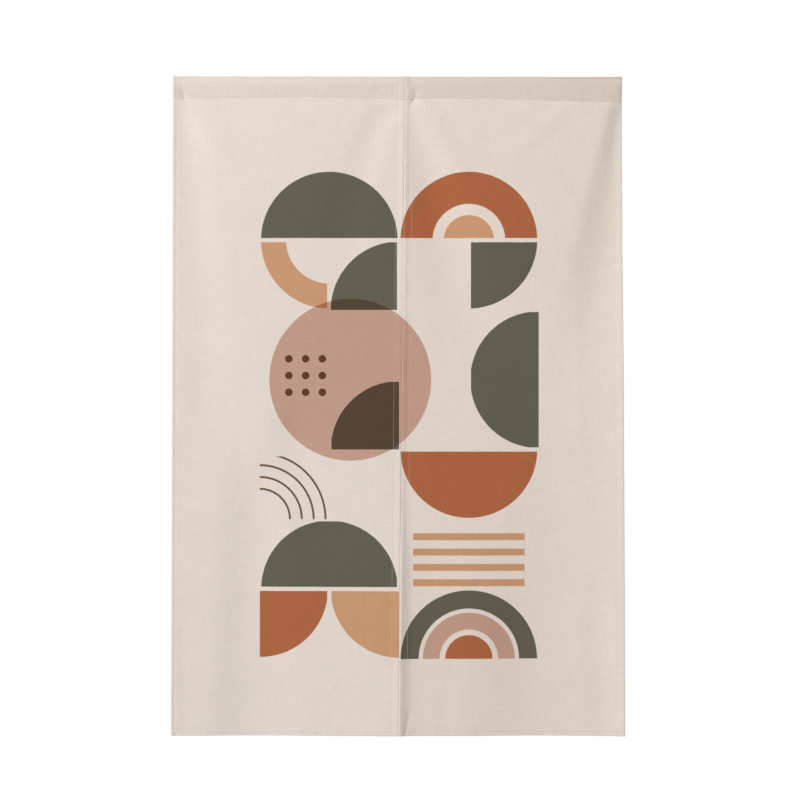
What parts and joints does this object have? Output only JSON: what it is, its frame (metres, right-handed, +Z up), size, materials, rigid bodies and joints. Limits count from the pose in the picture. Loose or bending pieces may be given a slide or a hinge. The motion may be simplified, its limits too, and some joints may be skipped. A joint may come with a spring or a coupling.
{
  "type": "partition curtain",
  "caption": "Split doorway curtain of undyed linen with side by side hemmed panels, a rod pocket along the top edge and a bold abstract print",
  "frame": {"origin": "On the axis of the empty rod space inside the pocket, above the middle of the bottom hem", "axes": "+X along the rod to the right as seen from the printed front, -Y out of the printed front, +Z up"},
  "size_m": [0.8266, 0.0209, 1.2006],
  "materials": {
    "linen": "plain-woven undyed linen, matte, printed on the front",
    "thread": "matte sewing thread in the cloth's colour"
  },
  "bodies": {
    "root": {"panel_left": "linen", "panel_right": "linen", "casing_left": "linen", "casing_right": "linen"}
  },
  "joints": []
}
